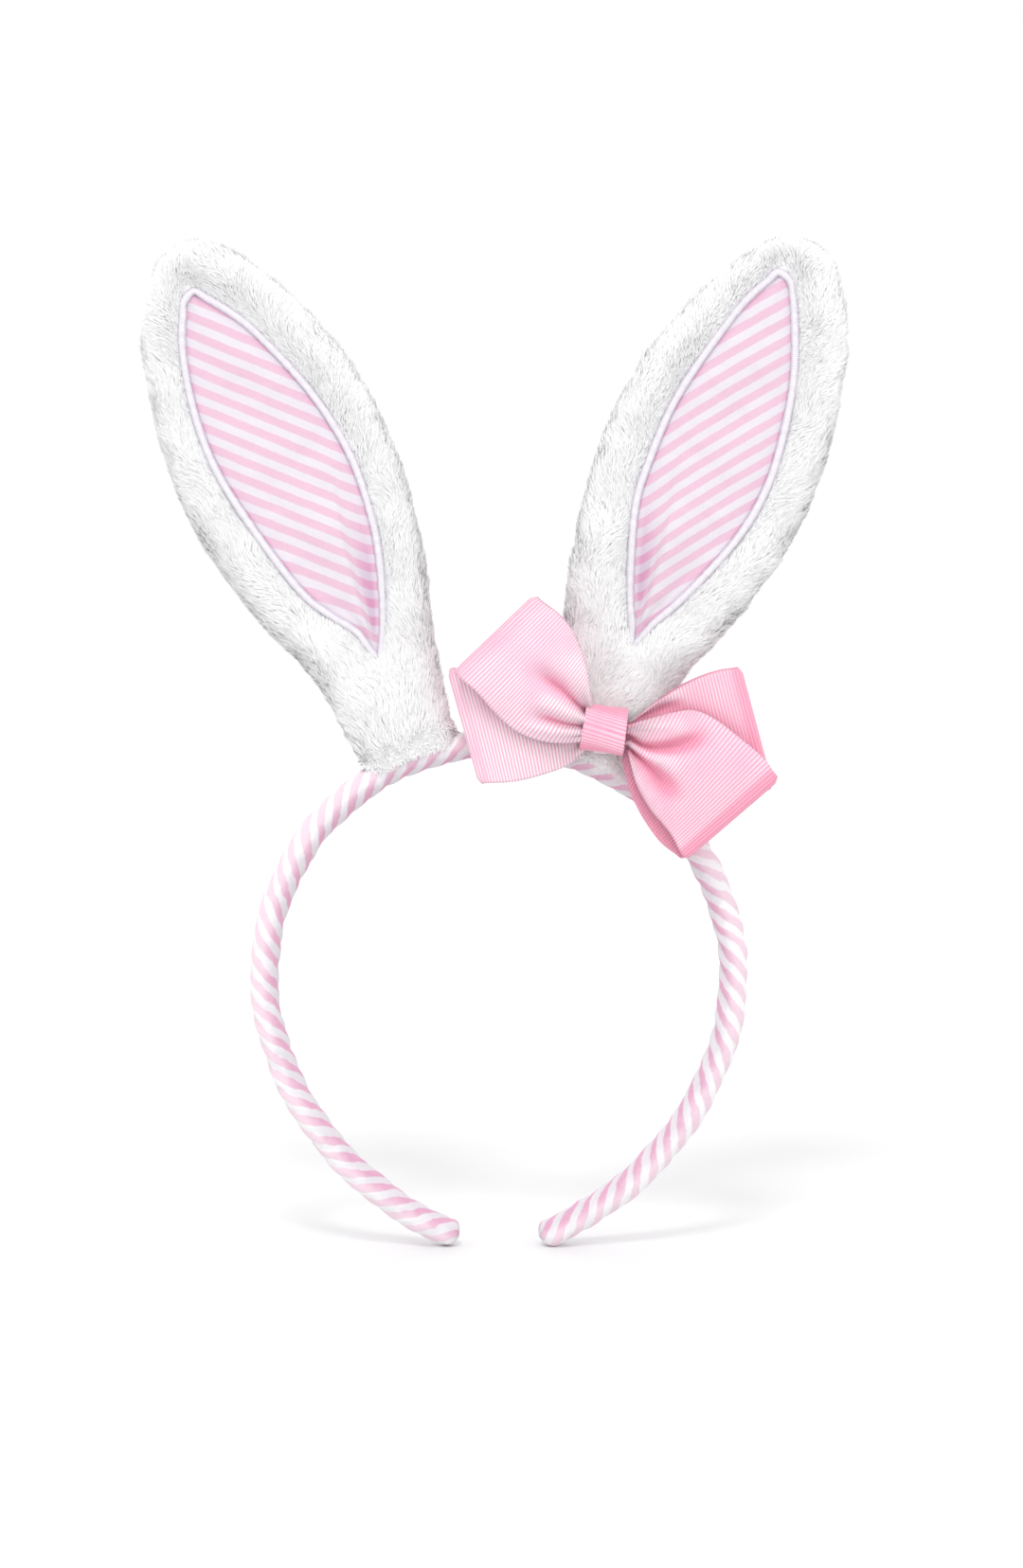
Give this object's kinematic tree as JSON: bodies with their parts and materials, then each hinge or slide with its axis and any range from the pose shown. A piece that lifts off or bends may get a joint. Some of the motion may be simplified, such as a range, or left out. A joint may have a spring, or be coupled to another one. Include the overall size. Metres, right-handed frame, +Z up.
{
  "type": "animal ears headband",
  "caption": "Padded, fabric-wound alice band with a pair of upright plush bunny ears and a ribbon bow at the foot of one ear.",
  "frame": {"origin": "middle of the crown's underside, where the band rests on the top of a head", "axes": "+Z up between the ears, the front of the headband with the bow towards -Y, +X to the right seen from the front"},
  "size_m": [0.1864, 0.0267, 0.2657],
  "materials": {
    "plush": "short dense white plush pile with soft cool-grey shading",
    "striped_cotton": "woven cotton in even pale pink and white stripes, puckered near the foot",
    "satin_thread": "white satin stitch with a faint lavender sheen",
    "band_wrap": "striped pink and white cotton strip wound in a steep helix round the band",
    "bow_ribbon": "pink grosgrain ribbon with fine cross ribs and a soft sheen",
    "bow_thread": "pink sewing thread",
    "band_core": "white sprung plastic strip",
    "band_padding": "thin white wadding",
    "ear_lining": "white fleece interlining",
    "ear_wire": "thin steel wire",
    "ear_tab": "white felt",
    "bow_glue": "clear hot-melt glue"
  },
  "bodies": {
    "crown": {"core_crown": "band_core", "padding_crown": "band_padding", "wrap_crown": "band_wrap", "ear_left_tab": "ear_tab", "ear_right_tab": "ear_tab", "bow_front_loop": "bow_ribbon", "bow_back_loop": "bow_ribbon", "bow_tie_thread": "bow_thread", "bow_knot": "bow_ribbon", "bow_glue": "bow_glue"},
    "leg_left": {"core_leg_left": "band_core", "padding_leg_left": "band_padding", "wrap_leg_left": "band_wrap", "wrap_end_left": "band_wrap"},
    "leg_right": {"core_leg_right": "band_core", "padding_leg_right": "band_padding", "wrap_leg_right": "band_wrap", "wrap_end_right": "band_wrap"},
    "ear_left": {"ear_left_fur_front": "plush", "ear_left_fur_back": "plush", "ear_left_inner_panel": "striped_cotton", "ear_left_satin_border": "satin_thread", "ear_left_lining": "ear_lining", "ear_left_wire": "ear_wire"},
    "ear_right": {"ear_right_fur_front": "plush", "ear_right_fur_back": "plush", "ear_right_inner_panel": "striped_cotton", "ear_right_satin_border": "satin_thread", "ear_right_lining": "ear_lining", "ear_right_wire": "ear_wire"}
  },
  "joints": [
    {"name": "leg_left_flex", "type": "hinge", "parent": "crown", "child": "leg_left", "pos_m": [-0.05122, 0, -0.01798], "axis": [0, 1, 0], "range_deg": [-4, 20], "stiffness_Nm_per_rad": 1},
    {"name": "leg_right_flex", "type": "hinge", "parent": "crown", "child": "leg_right", "pos_m": [0.05122, 0, -0.01798], "axis": [0, -1, 0], "range_deg": [-4, 20], "stiffness_Nm_per_rad": 1},
    {"name": "ear_left_bend", "type": "hinge", "parent": "crown", "child": "ear_left", "pos_m": [-0.02872, 0, 0.00901], "axis": [0.9191, 0, 0.3939], "range_deg": [-45, 35]},
    {"name": "ear_right_bend", "type": "hinge", "parent": "crown", "child": "ear_right", "pos_m": [0.02872, 0, 0.00901], "axis": [0.9191, 0, -0.3939], "range_deg": [-45, 0]}
  ]
}
